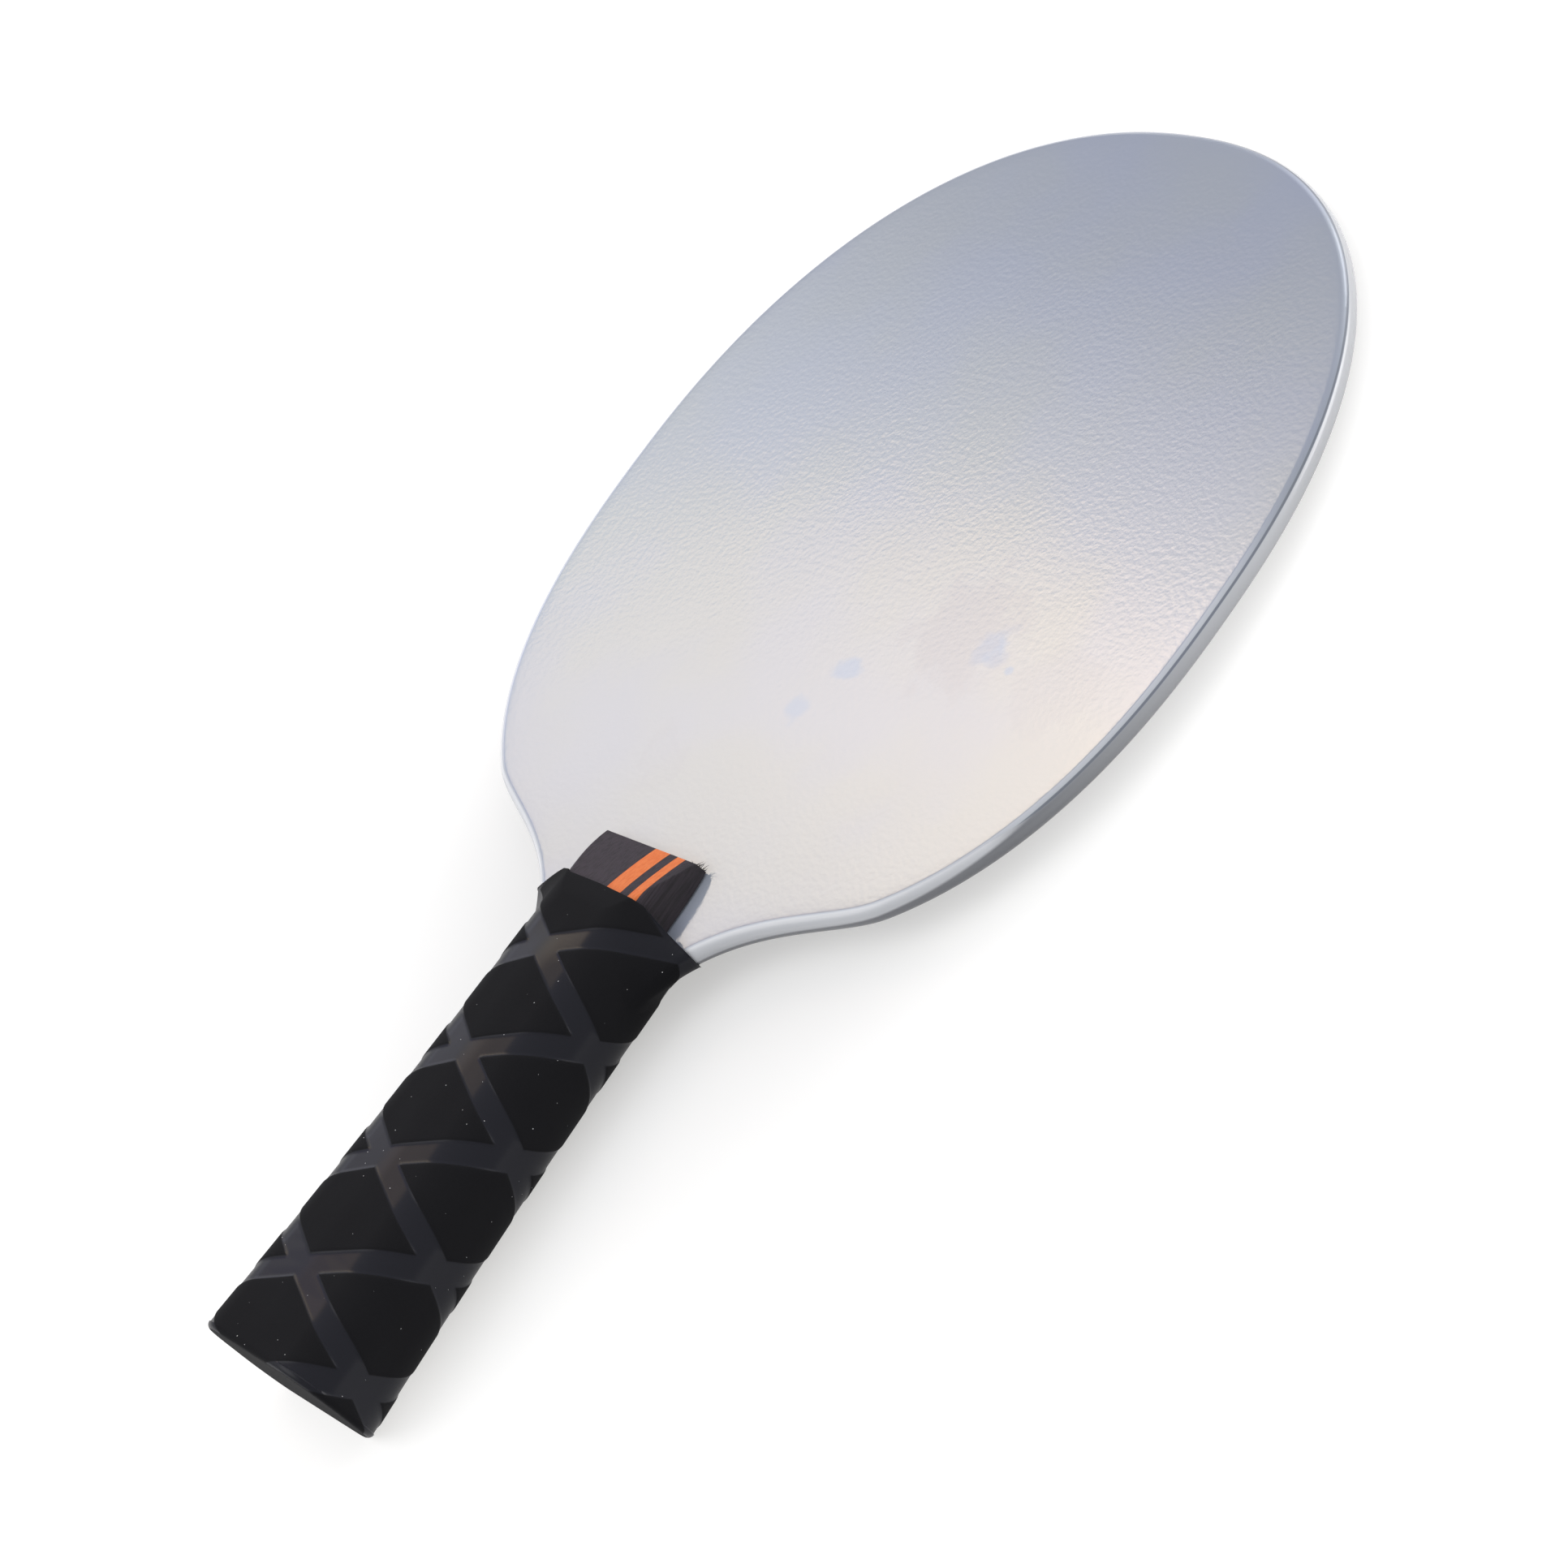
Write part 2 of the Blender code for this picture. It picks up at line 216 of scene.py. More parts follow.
def evenly(path, step):
    """The same path with points at even distances, about one step apart."""
    run = np.concatenate([[0], np.cumsum(np.linalg.norm(np.diff(path, axis=0), axis=1))])
    at = np.linspace(0, run[-1], round(run[-1] / step) + 1)
    return np.stack([np.interp(at, run, path[:, axis]) for axis in range(2)], axis=1)


top = superellipse(np.linspace(math.pi / 2, 0, TOP_SAMPLES), HEAD_TOP, TOP_FULLNESS)
down = np.linspace(0, SHOULDER_ANGLE, SIDE_SAMPLES)
bottom = superellipse(down, HEAD_BOTTOM, BOTTOM_FULLNESS) * (1, -1)
shoulder_heading = bottom[-1] - bottom[-2]
shoulder_heading /= np.linalg.norm(shoulder_heading)
neck = neck_curve(bottom[-1], shoulder_heading, np.linspace(0, 1, SIDE_SAMPLES))
neck[:, 0] = np.maximum(neck[:, 0], wood_half_width(neck[:, 1]))
head_outline = evenly(np.concatenate([top, bottom[1:], neck[1:]]), OUTLINE_STEP)
print("outline points on one side:", len(head_outline))

# %% [markdown]
# ## The plate with its rounded edge
# The real plate is about 4 mm thick. Its edge was rounded over and coated, and just inside the
# round the face falls away by two hundredths of a millimetre, which shows as a soft line in the
# reflections. A Bevel modifier would give the round but not the slight fall. So each ring follows
# the outline at some inset and height, and the rings together draw the edge's profile.

# %% Profile of the edge, and the plate
THICKNESS = 0.0040
EDGE_ROUND = 0.0018
EDGE_FLAT = 0.0002
FALL_START = 0.0044
FALL = 0.00002
FALL_RINGS = 6
ROUND_RINGS = 15
TANG_POINTS = 7


def edge_profile():
    """Insets and heights from the front face round to the back.

    The fall is a parabola: height = half thickness - FALL * share^2.
    The round is a quarter ellipse: inset = r (1 - sin a), height = flat / 2 + rise * cos a.
    """
    share = np.linspace(0, 1, FALL_RINGS, endpoint=False)
    fall_inset = FALL_START + (EDGE_ROUND - FALL_START) * share
    fall_height = THICKNESS / 2 - FALL * share**2
    turn = np.linspace(0, math.pi / 2, ROUND_RINGS)
    rise = THICKNESS / 2 - FALL - EDGE_FLAT / 2
    inset = np.concatenate([fall_inset, EDGE_ROUND * (1 - np.sin(turn))])
    height = np.concatenate([fall_height, EDGE_FLAT / 2 + rise * np.cos(turn)])
    return np.concatenate([inset, inset[::-1]]), np.concatenate([height, -height[::-1]])


def outward(path):
    """The unit normal of a path that runs clockwise seen from the front, from its direction."""
    along = np.gradient(path, axis=0)
    along /= np.linalg.norm(along, axis=1)[:, None]
    return np.stack([-along[:, 1], along[:, 0]], axis=1)


tang_y = np.linspace(-NECK_END, -HANDLE_END, TANG_POINTS)[1:]
tang = np.stack([wood_half_width(tang_y), tang_y], axis=1)
right_side = np.concatenate([head_outline, tang])
right_out = np.concatenate([outward(head_outline), np.tile((1.0, 0.0), (len(tang), 1))])
right_out[0] = (0, 1)
right_out[-1] = (1, -1)
side = np.concatenate([right_side, right_side[:0:-1] * (-1, 1)])
out = np.concatenate([right_out, right_out[:0:-1] * (-1, 1)])
inset, height = edge_profile()
rings = side - inset[:, None, None] * out
blade_points = np.concatenate([rings, np.broadcast_to(height[:, None, None], (*rings.shape[:2], 1))], 2)
blade_points[..., 1] += WIDEST_LINE
blade = piece("blade_plate", ring_mesh("blade_plate", blade_points), "coated_metal", "blade")

# %% [markdown]
# ## The wooden scales
# Each scale is glued up from five strips of dyed wood and then shaped as one block: its top is
# flat, its sides are turned over in a wide arc, and its front end is planed down in a ramp. The
# top of the block is a height over the plane: the lower of the rounded section and the ramp,
# joined by a smooth minimum so that the ridge between them is softly broken, as sandpaper leaves
# it.

# %% The block's height
HANDLE_THICKNESS = (0.0174, 0.0200)
CORNER = (0.0089, 0.0080)
NOSE_HEIGHT = 0.0021
NOSE_LENGTH = 0.0144
NOSE_POWER = 1.4
SEAT = 0.0023
RIDGE_SOFTNESS = 0.00022
FRONT_BREAK = 0.00018


def corner_circle(y):
    """The radius of the section's corner circle, and its centre across and up."""
    radius = flared(CORNER, y)
    return radius, wood_half_width(y) - radius, flared(HANDLE_THICKNESS, y) / 2 - radius


def nose_limit(y):
    """The block's greatest height at y: half the thickness - drop * (share of the ramp)^power."""
    drop = HANDLE_THICKNESS[0] / 2 - SEAT - NOSE_HEIGHT
    ahead = np.clip((y + HANDLE_START + NOSE_LENGTH) / NOSE_LENGTH, 0, 1)
    return flared(HANDLE_THICKNESS, y) / 2 - drop * ahead**NOSE_POWER


def section_height(x, y):
    """The height of the rounded section over x: centre + sqrt(r^2 - (x - centre)^2)."""
    radius, across, up = corner_circle(y)
    return up + np.sqrt(radius**2 - np.clip(np.abs(x) - across, 0, radius) ** 2)


def section_side(height, y):
    """The half width of the rounded section at a height: the same circle solved for x."""
    radius, across, up = corner_circle(y)
    return across + np.sqrt(radius**2 - np.clip(height - up, 0, radius) ** 2)


def smooth_minimum(a, b, softness):
    """The lower of two heights, less (softness - gap)^2 / (4 softness) where they are close."""
    near = np.clip(softness - np.abs(a - b), 0, None)
    return np.minimum(a, b) - near**2 / (4 * softness)


def block_top(x, y):
    """The block's top: smooth minimum of ramp and rounded section, with a broken front edge."""
    behind = np.clip(FRONT_BREAK - (-HANDLE_START - y), 0, FRONT_BREAK)
    edge_break = FRONT_BREAK - np.sqrt(FRONT_BREAK**2 - behind**2)
    height = smooth_minimum(nose_limit(y), section_height(x, y), RIDGE_SOFTNESS) - edge_break
    return np.maximum(height, SEAT)


tops = 1000 * block_top(0, -HANDLE_START - np.array([0, NOSE_LENGTH / 2, NOSE_LENGTH]))
print("ramp's height at its start, middle and end, mm:", np.round(tops, 2))

# %% [markdown]
# A strip is the part of the block between two lines along the handle, and the flare widens only
# the outer strips. Each ring goes over a strip's seat and top at one place along it, and on the
# outer strips its points crowd round the ridge, where the surface turns most sharply.

# %% The five strips of each scale
STRIPES = (0.00147, 0.00530, 0.00735, 0.00940)
GLUE_LINE = 0.00005
TOP_COLUMNS = 9
ARC_COLUMNS = 19
INNER_COLUMNS = 15
LEAST_SHARE = 0.2
BREAK_ROWS = np.array([0, 0.08, 0.3, 0.65, 1])
FIRST_NOSE_ROW = 0.0008
NOSE_ROWS = 22
GRIP_ROWS = 26


def across_outer_strip(start, y):
    """x from an inner line to where the side meets the seat, crowded round the ridge.

    A point of the arc is at x = centre + r sin(turn), with the turn counted from straight up.
    """
    share = np.linspace(0, 1, ARC_COLUMNS)
    radius, across, up = corner_circle(y)
    first = np.arcsin(np.clip((start - across) / radius, 0, 1))
    last = np.arccos((SEAT - up) / radius)
    ridge = np.arccos(np.clip((nose_limit(y) - up) / radius, 0, 1))
    ridge = np.maximum(ridge, first + LEAST_SHARE * (last - first))
    to_ridge = first + (ridge - first) * (1 - (1 - share) ** 2)
    to_side = ridge + (last - ridge) * share[1:] ** 2
    rounded = across + radius * np.sin(np.concatenate([to_ridge, to_side], axis=1))
    if start > across.min():
        return rounded
    inner = start + (across - start) * np.linspace(0, 1, TOP_COLUMNS)[:-1]
    return np.concatenate([inner, rounded], axis=1)


def strip_rings(x, y, face):
    """Rings of one strip: along its seat, then over its top. face is 1 in front, -1 behind."""
    z = block_top(x, y)
    seat = np.full((len(y), 1), SEAT)
    ring_x = np.concatenate([x[:, :1], x, x[:, -1:]], axis=1)
    ring_z = np.concatenate([seat, z, seat], axis=1)
    return np.stack([ring_x * face, y + WIDEST_LINE + 0 * ring_x, ring_z * face], axis=-1)


nose_end = -HANDLE_START - NOSE_LENGTH
nose_rows = np.linspace(-HANDLE_START - FIRST_NOSE_ROW, nose_end, NOSE_ROWS)
grip_rows = np.linspace(nose_end, -HANDLE_END, GRIP_ROWS)[1:]
break_rows = -HANDLE_START - FRONT_BREAK * BREAK_ROWS
strip_y = np.concatenate([break_rows, nose_rows, grip_rows])[:, None]
half_gap = GLUE_LINE / 2
a, b, c, d = STRIPES
spans = {"wide_orange": (a, b), "middle_dark": (b, c), "narrow_orange": (c, d)}
strips = {}
for prefix, face in (("front", 1), ("back", -1)):
    crossings = {"broad_dark": -across_outer_strip(-(a - half_gap), strip_y)[:, ::-1]}
    for name, (left, right) in spans.items():
        inside = np.linspace(left + half_gap, right - half_gap, INNER_COLUMNS)
        crossings[name] = np.broadcast_to(inside, (len(strip_y), INNER_COLUMNS))
    crossings["edge_dark"] = across_outer_strip(d + half_gap, strip_y)
    for name, x in crossings.items():
        full = f"{prefix}_{name}"
        mesh = ring_mesh(full, strip_rings(x, strip_y, face))
        wood = "orange_wood" if "orange" in name else "dark_wood"
        strips[full] = piece(full, mesh, wood, f"{full}_strip")

# %% Merge the points where a strip's round side meets its seat
SAME_PLACE = 1e-7
for strip in strips.values():
    merged = bmesh.new()
    merged.from_mesh(strip.data)
    bmesh.ops.remove_doubles(merged, verts=merged.verts, dist=SAME_PLACE)
    merged.to_mesh(strip.data)
    merged.free()
print("points in each strip:", [len(strip.data.vertices) for strip in strips.values()])

# %% [markdown]
# ## Splinters
# At the front right corner the ramp was sawn across the grain, and a tuft of torn fibres still
# stands out from the edge. Each fibre is a thin tube that tapers and bends. They are part of the
# outermost strip, so their mesh is merged into its mesh.

# %% Helper: one mesh of many thin tubes
FIBRE_COLUMNS = 5


def tube_mesh(name, centres, radii):
    """One mesh of many closed tubes. centres is (tube, ring, xyz) and radii is one for each ring.

    A ring's point is centre + radius * (cos a * across + sin a * up), at right angles to the tube.
    """
    heading = centres[:, -1] - centres[:, 0]
    across = np.cross(heading, (0, 0, 1))
    across /= np.linalg.norm(across, axis=1)[:, None]
    up = np.cross(across, heading)
    up /= np.linalg.norm(up, axis=1)[:, None]
    angle = np.linspace(0, 2 * math.pi, FIBRE_COLUMNS, endpoint=False)[:, None]
    round_it = np.cos(angle) * across[:, None, None] + np.sin(angle) * up[:, None, None]
    points = centres[:, :, None] + radii[:, None, None] * round_it
    tubes, rings, columns = points.shape[:3]
    quads, caps, _ = ring_faces(points[0])
    shift = np.arange(tubes)[:, None, None] * rings * columns
    faces = (quads + shift).reshape(-1, 4).tolist() + (caps + shift).reshape(-1, columns).tolist()
    mesh = bpy.data.meshes.new(name)
    mesh.from_pydata(points.reshape(-1, 3).tolist(), [], faces)
    return mesh


# %% A tuft of fibres on the front strip's corner
FIBRES = 16
FIBRE_RINGS = 6
FIBRE_RADIUS = 0.00007
FIBRE_TAPER = 0.75
TUFT_LINE = -HANDLE_START - 0.0002
TUFT_ENDS = np.array([(0.0108, TUFT_LINE, 0.0042), (0.0128, TUFT_LINE, 0.0026)])
chance = np.random.default_rng(7)
share = np.linspace(0, 1, FIBRE_RINGS)[:, None]
roots = TUFT_ENDS[0] + (TUFT_ENDS[1] - TUFT_ENDS[0]) * chance.random((FIBRES, 1, 1))
roots = roots + (0, WIDEST_LINE, 0)
leaning = chance.uniform((0.1, 0.5, -0.4), (0.9, 1.0, 0.5), (FIBRES, 1, 3))
lengths = chance.uniform(0.0005, 0.0016, (FIBRES, 1, 1))
bends = chance.uniform(-0.5, 0.5, (FIBRES, 1, 3)) * share**2
centres = roots + lengths * (leaning * share + bends)
tuft = tube_mesh("tuft", centres, FIBRE_RADIUS * (1 - FIBRE_TAPER * share[:, 0]))
edge_strip = strips["front_edge_dark"].data
joined = bmesh.new()
joined.from_mesh(edge_strip)
joined.from_mesh(tuft)
joined.to_mesh(edge_strip)
joined.free()
edge_strip.shade_smooth()
edge_strip.set_sharp_from_angle(angle=SHARP)
bpy.data.meshes.remove(tuft)
print("points with the fibres:", len(edge_strip.vertices))

# %% [markdown]
# ## The sleeve's shape
# The grip is a rubbery shrink tube. It is stretched tight over the wood and, at the mouth, over
# the edges of the plate's neck, so its section is the outline of a tight band round both. Such a
# band touches each of its tangents where what lies inside reaches furthest. The half width at a
# height is then the least room that all tangents leave, which numpy finds for every height and
# every tangent at once. The points are then spread evenly round the band, because the tube's
# pattern is even round it. Behind the ramp the tube stands off the flat tops by up to half a
# millimetre, as a soft crown. The mouth is drawn back over the neck's edges, and the tube went on
# a little askew, so its two sides do not match.

# %% How far wood, plate and crown reach
CROWN = 0.00045
CROWN_RISE = 0.012
CROWN_RADIUS = 0.030
CROWN_REACH = 0.0075
CROWN_ROOM = 0.9
TANGENTS = 150
plate_side = np.concatenate([bottom, neck[1:], tang])
tangents = np.linspace(0, math.pi / 2, TANGENTS, endpoint=False)


def smooth_step(share):
    """3 share^2 - 2 share^3, which is 0 up to 0 and 1 from 1 on."""
    share = np.clip(share, 0, 1)
    return share * share * (3 - 2 * share)


def crown(y):
    """Height of the crown: a smooth step behind the ramp, and less where the butt is thickest."""
    room = CROWN_ROOM * (HANDLE_THICKNESS[1] - flared(HANDLE_THICKNESS, y)) / 2
    return np.clip(room, 0, CROWN * smooth_step((-y - HANDLE_START - NOSE_LENGTH) / CROWN_RISE))


def reach(y):
    """How far wood, plate and crown reach from the middle at y, in each tangent's direction."""
    across, up = np.cos(tangents), np.sin(tangents)
    radius, _, centre_up = corner_circle(y)
    z = np.clip(centre_up + radius * up, 0, nose_limit(y))
    wood = section_side(z, y) * across + z * up
    plate_x = np.interp(-y, -plate_side[:, 1], plate_side[:, 0]) - EDGE_ROUND * (1 - across)
    plate_z = THICKNESS / 2 - EDGE_ROUND * (1 - up)
    hump_x = np.clip(CROWN_RADIUS * across / np.maximum(up, 0.1), 0, CROWN_REACH)
    hump_z = nose_limit(y) + crown(y) - hump_x**2 / (2 * CROWN_RADIUS)
    reaches = (wood, plate_x * across + plate_z * up, hump_x * across + hump_z * up)
    return np.max(np.broadcast_arrays(*reaches), axis=0)


print(f"reach behind the ramp: {1000 * reach(np.array([nose_end]))[0]:.2f} mm")

# %% Even points round the stretched band
MOUTH = HANDLE_START + 0.0104
MOUTH_BLEND = 0.0300
MOUTH_DRAW = {1: 0.31, -1: 0.45}
MOUTH_DRAW_START = 0.0113
MOUTH_SLANT = 0.043
BAND_SAMPLES = 90
FIRST_HALF_WIDTH = 0.012
ROUNDS = 3
QUARTER_COLUMNS = 72


def drawn_back(y, x, side):
    """y behind a mouth that is drawn back by so much for each metre beyond the ridge, and slants."""
    fade = np.clip(1 + (y + MOUTH) / MOUTH_BLEND, 0, 1)
    beyond = MOUTH_DRAW[side] * np.clip(x - MOUTH_DRAW_START, 0, None)
    return y - fade * (beyond + side * MOUTH_SLANT * x)


def quarter_band(y, offset, side):
    """Points from the front's middle line to one side, at even steps round the band.

    side is 1 for the right and -1 for the left, but x counts away from the middle on both. x and
    how far the mouth is drawn back depend on each other, so a few rounds settle them.
    """
    share = np.sin(np.linspace(math.pi / 2, 0, BAND_SAMPLES))
    x = FIRST_HALF_WIDTH * np.sqrt(1 - share**2)
    z = (nose_limit(y) + crown(y) + offset) * share
    for _ in range(ROUNDS):
        moved = drawn_back(y, x, side)
        room = reach(moved[..., None]) + offset[..., None] - z[..., None] * np.sin(tangents)
        x = (room / np.cos(tangents)).min(axis=2)
    x = np.concatenate([np.zeros_like(y), x], axis=1)
    z = np.concatenate([z[:, :1], z], axis=1)
    moved = np.concatenate([y, moved], axis=1)
    run = np.cumsum(np.hypot(np.diff(x, axis=1), np.diff(z, axis=1)), axis=1)
    run = np.concatenate([np.zeros_like(y), run], axis=1)
    even = np.linspace(0, 1, QUARTER_COLUMNS + 1)
    spread = [[np.interp(even * r[-1], r, c) for r, c in zip(run, axis)] for axis in (x, moved, z)]
    return *map(np.stack, spread), run[:, -1]


def whole_band(right, left, mirror_x, mirror_z):
    """The four quarters in order: front to right, right to back, back to left, left to front."""
    parts = (right[:, :-1], mirror_z * right[:, :0:-1])
    parts += (mirror_x * mirror_z * left[:, :-1], mirror_x * left[:, :0:-1])
    return np.concatenate(parts, axis=1)


# %% Rows of the sleeve, outside and inside
SLEEVE_WALL = 0.0004
SLEEVE_CLEARANCE = 0.0001
END_WALL = 0.0010
END_INSETS = (0.0070, 0.0045, 0.0025)
RIM_ROUND = 0.0012
RIM_ROWS = 12
MOUTH_EDGE = ((0.00006, 0.00004), (0.00012, 0.00015), (0.00012, 0.0003))
SLEEVE_END = HANDLE_END + SLEEVE_CLEARANCE + END_WALL
OUTER_ROWS = 290
INNER_STEP = 24


def sleeve_rows():
    """(y, offset) from the middle of the end round its rim, up the outside and down the inside."""
    outer = SLEEVE_CLEARANCE + SLEEVE_WALL
    turn = np.linspace(math.pi / 2, 0, RIM_ROWS)[:-1]
    outside = np.linspace(-SLEEVE_END + RIM_ROUND, -MOUTH, OUTER_ROWS)
    rows = [(-SLEEVE_END, outer - inward) for inward in END_INSETS]
    rim_y = -SLEEVE_END + RIM_ROUND * (1 - np.sin(turn))
    rows += list(zip(rim_y, outer - RIM_ROUND * (1 - np.cos(turn))))
    rows += [(y, outer) for y in outside]
    rows += [(-MOUTH + ahead, outer - inward) for ahead, inward in MOUTH_EDGE]
    rows += [(y, SLEEVE_CLEARANCE) for y in outside[::-INNER_STEP]]
    rows += [(-SLEEVE_END + END_WALL, SLEEVE_CLEARANCE)]
    return np.array(rows)


rows = sleeve_rows()
row_y, row_offset = rows[:, :1], rows[:, 1:]
right, left = quarter_band(row_y, row_offset, 1), quarter_band(row_y, row_offset, -1)
band_x = whole_band(right[0], left[0], -1, 1)
band_y = whole_band(right[1], left[1], 1, 1)
band_z = whole_band(right[2], left[2], 1, -1)
print(f"greatest quarter of the sleeve's girth: {1000 * right[3].max():.1f} mm")

# %% [markdown]
# ## The moulded lattice
# The tube carries a moulded pattern: raised matte pads with smooth satin bands between them.
# Counted in quarter turns u round the tube and in periods v along it, the bands are the places
# where v + u / 2 or v - u / 2 is close to a whole number, so two families of spirals cross in
# four columns. The tube sits turned a little to the left, which u starts from. The bands are sunk
# by a fifth of a millimetre in the mesh itself, and the same two numbers are the UV map, so the
# material can find the bands' exact edges. The end's flat face is all pad, so its UV is one point.

# %% The lattice's two numbers, and where a band lies
PERIOD = 0.02092
CROSSING_LINE = -0.09486
TUBE_TURN = 0.059
BAND_WIDTH = 0.0040
QUARTER_GIRTH = 0.0215
BAND_LEAN = math.cos(math.atan2(PERIOD / 2, QUARTER_GIRTH))
FLAT_ROWS = 6
ON_A_PAD = (0, 0.5)


def band_share(u, v, width, soft):
    """1 in the middle of a band and 0 on a pad, with a smooth step of this softness between."""
    lines = np.stack([v + u / 2, v - u / 2])
    distance = np.abs(lines - np.round(lines)).min(axis=0) * PERIOD * BAND_LEAN
    return smooth_step((width / 2 + soft / 2 - distance) / soft)


u = np.arange(4 * QUARTER_COLUMNS + 1) / QUARTER_COLUMNS + TUBE_TURN
v = (np.concatenate([band_y, band_y[:, :1]], axis=1) - CROSSING_LINE) / PERIOD
uv = np.stack([np.broadcast_to(u, v.shape), v], axis=-1)
uv[:FLAT_ROWS] = ON_A_PAD
print(f"periods along the tube: {np.ptp(v):.2f}")

# %% Sink the bands and make the mesh
BAND_DEPTH = 0.00018
BAND_SHOULDER = 0.0006
TINY = 1e-6
outside = (row_offset > SLEEVE_CLEARANCE + SLEEVE_WALL - TINY).astype(float)
sunk = BAND_DEPTH * outside * band_share(u[:-1], v[:, :-1], BAND_WIDTH, BAND_SHOULDER)
round_x = np.roll(band_x, -1, axis=1) - np.roll(band_x, 1, axis=1)
round_z = np.roll(band_z, -1, axis=1) - np.roll(band_z, 1, axis=1)
length = np.hypot(round_x, round_z)
sleeve_x = band_x + sunk * round_z / length
sleeve_z = band_z - sunk * round_x / length
sleeve_points = np.stack([sleeve_x, band_y + WIDEST_LINE, sleeve_z], axis=-1)
sleeve_mesh = ring_mesh("sleeve", sleeve_points, uv)
sleeve = piece("sleeve", sleeve_mesh, "grip_rubber", "grip_sleeve")

# %% [markdown]
# ## Building materials with nodes
# A finish is a small network of nodes, which could be wired by hand in the shader editor. Helpers
# that each add one kind of node let a finish read as a list of what it is made of.


# %% Helpers for node trees
def fill(tree, made, inputs):
    """Gives each input a number or colour, or links it to another node's socket."""
    for key, value in inputs.items():
        if isinstance(value, bpy.types.NodeSocket):
            tree.links.new(value, made.inputs[key])
        else:
            made.inputs[key].default_value = value


def node(tree, kind, inputs=None, **settings):
    """Adds a node with these settings and inputs."""
    made = tree.nodes.new(kind)
    for key, value in settings.items():
        setattr(made, key, value)
    fill(tree, made, inputs or {})
    return made


def maths(tree, operation, *values):
    """One step of arithmetic on numbers."""
    return node(tree, "ShaderNodeMath", dict(enumerate(values)), operation=operation).outputs[0]


def vectors(tree, operation, *values):
    """One step of arithmetic on vectors. It puts out a vector and a number."""
    return node(tree, "ShaderNodeVectorMath", dict(enumerate(values)), operation=operation).outputs


def product(tree, first, *factors):
    """All the factors multiplied together."""
    for factor in factors:
        first = maths(tree, "MULTIPLY", first, factor)
    return first


def opposite(tree, mask):
    """1 - mask."""
    return maths(tree, "SUBTRACT", 1.0, mask)


def mix_colours(tree, factor, first, second, how="MIX"):
    """Mixes two colours, each fixed or linked."""
    inputs = {0: factor, 6: first, 7: second}
    made = node(tree, "ShaderNodeMix", inputs, data_type="RGBA", blend_type=how)
    return made.outputs[2]


def step_between(tree, value, low, high):
    """0 below low, 1 above high and a smooth step between. low may be the higher number."""
    inputs = {"Value": value, "From Min": low, "From Max": high}
    made = node(tree, "ShaderNodeMapRange", inputs, interpolation_type="SMOOTHSTEP")
    return made.outputs["Result"]


def ranging(tree, value, low, high):
    """low where the value is 0, high where it is 1, and in proportion between."""
    inputs = {"Value": value, "To Min": low, "To Max": high}
    return node(tree, "ShaderNodeMapRange", inputs).outputs["Result"]


def noise(tree, place, per_metre, detail=2.0, rough=0.5):
    """Soft random values about 0.5, with this many blobs to the metre."""
    inputs = {"Vector": place, "Scale": per_metre, "Detail": detail, "Roughness": rough}
    return node(tree, "ShaderNodeTexNoise", inputs).outputs[0]


def bump(tree, height, strength, distance):
    """The normal of a surface that rises by up to this distance where the height is 1."""
    inputs = {"Height": height, "Strength": strength, "Distance": distance}
    return node(tree, "ShaderNodeBump", inputs).outputs["Normal"]


# %% Helpers for materials and node groups
def new_material(name):
    """A material with its own Principled shader, its tree, and the Object coordinates."""
    material = bpy.data.materials.new(name)
    material.use_nodes = True
    tree = material.node_tree
    return material, tree, node(tree, "ShaderNodeTexCoord").outputs["Object"]


def complete(material, inputs, *pieces):
    """Fills the shader's inputs, and puts the finished material on these pieces."""
    fill(material.node_tree, material.node_tree.nodes["Principled BSDF"], inputs)
    for made in pieces:
        made.data.materials.append(material)
    print(f"{material.name}: {len(material.node_tree.nodes)} nodes")


def new_group(name, inputs, *outputs):
    """A shader node group. Its inputs start at a number, or are vectors and start at None."""
    group = bpy.data.node_groups.new(name, "ShaderNodeTree")
    for label, start in inputs.items():
        kind = "NodeSocketVector" if start is None else "NodeSocketFloat"
        socket = group.interface.new_socket(label, in_out="INPUT", socket_type=kind)
        if start is not None:
            socket.default_value = start
    for label in outputs:
        group.interface.new_socket(label, in_out="OUTPUT", socket_type="NodeSocketFloat")
    return group, node(group, "NodeGroupInput").outputs, node(group, "NodeGroupOutput").inputs


def use_group(tree, group, inputs):
    """Places a group in a material with its own values, and gives its outputs."""
    return node(tree, "ShaderNodeGroup", inputs, node_tree=group).outputs


# %% [markdown]
# ## Dust
# Pinpricks of pale dust lie on the rubber, the dark wood and even the metal. A Voronoi texture
# gives every cell one random point, and a threshold on the cell's random colour keeps dust in
# only a share of the cells. The group puts out one mask, and each material gives its own values.

# %% Group: dust specks
SMALLEST_SPECK = 0.4
dust_inputs = {"Place": None, "Per Metre": 300.0, "Share": 0.1, "Radius": 0.03}
dust, dust_in, dust_out = new_group("dust_specks", dust_inputs, "Mask")
cells = {"Vector": dust_in["Place"], "Scale": dust_in["Per Metre"]}
cells = node(dust, "ShaderNodeTexVoronoi", cells, feature="F1").outputs
random = node(dust, "ShaderNodeSeparateColor", {0: cells["Color"]}).outputs
kept = maths(dust, "LESS_THAN", random[0], dust_in["Share"])
size = product(dust, dust_in["Radius"], maths(dust, "ADD", random[1], SMALLEST_SPECK))
speck = maths(dust, "LESS_THAN", cells["Distance"], size)
dust.links.new(product(dust, kept, speck), dust_out["Mask"])
print(f"{dust.name}: {len(dust.nodes)} nodes")


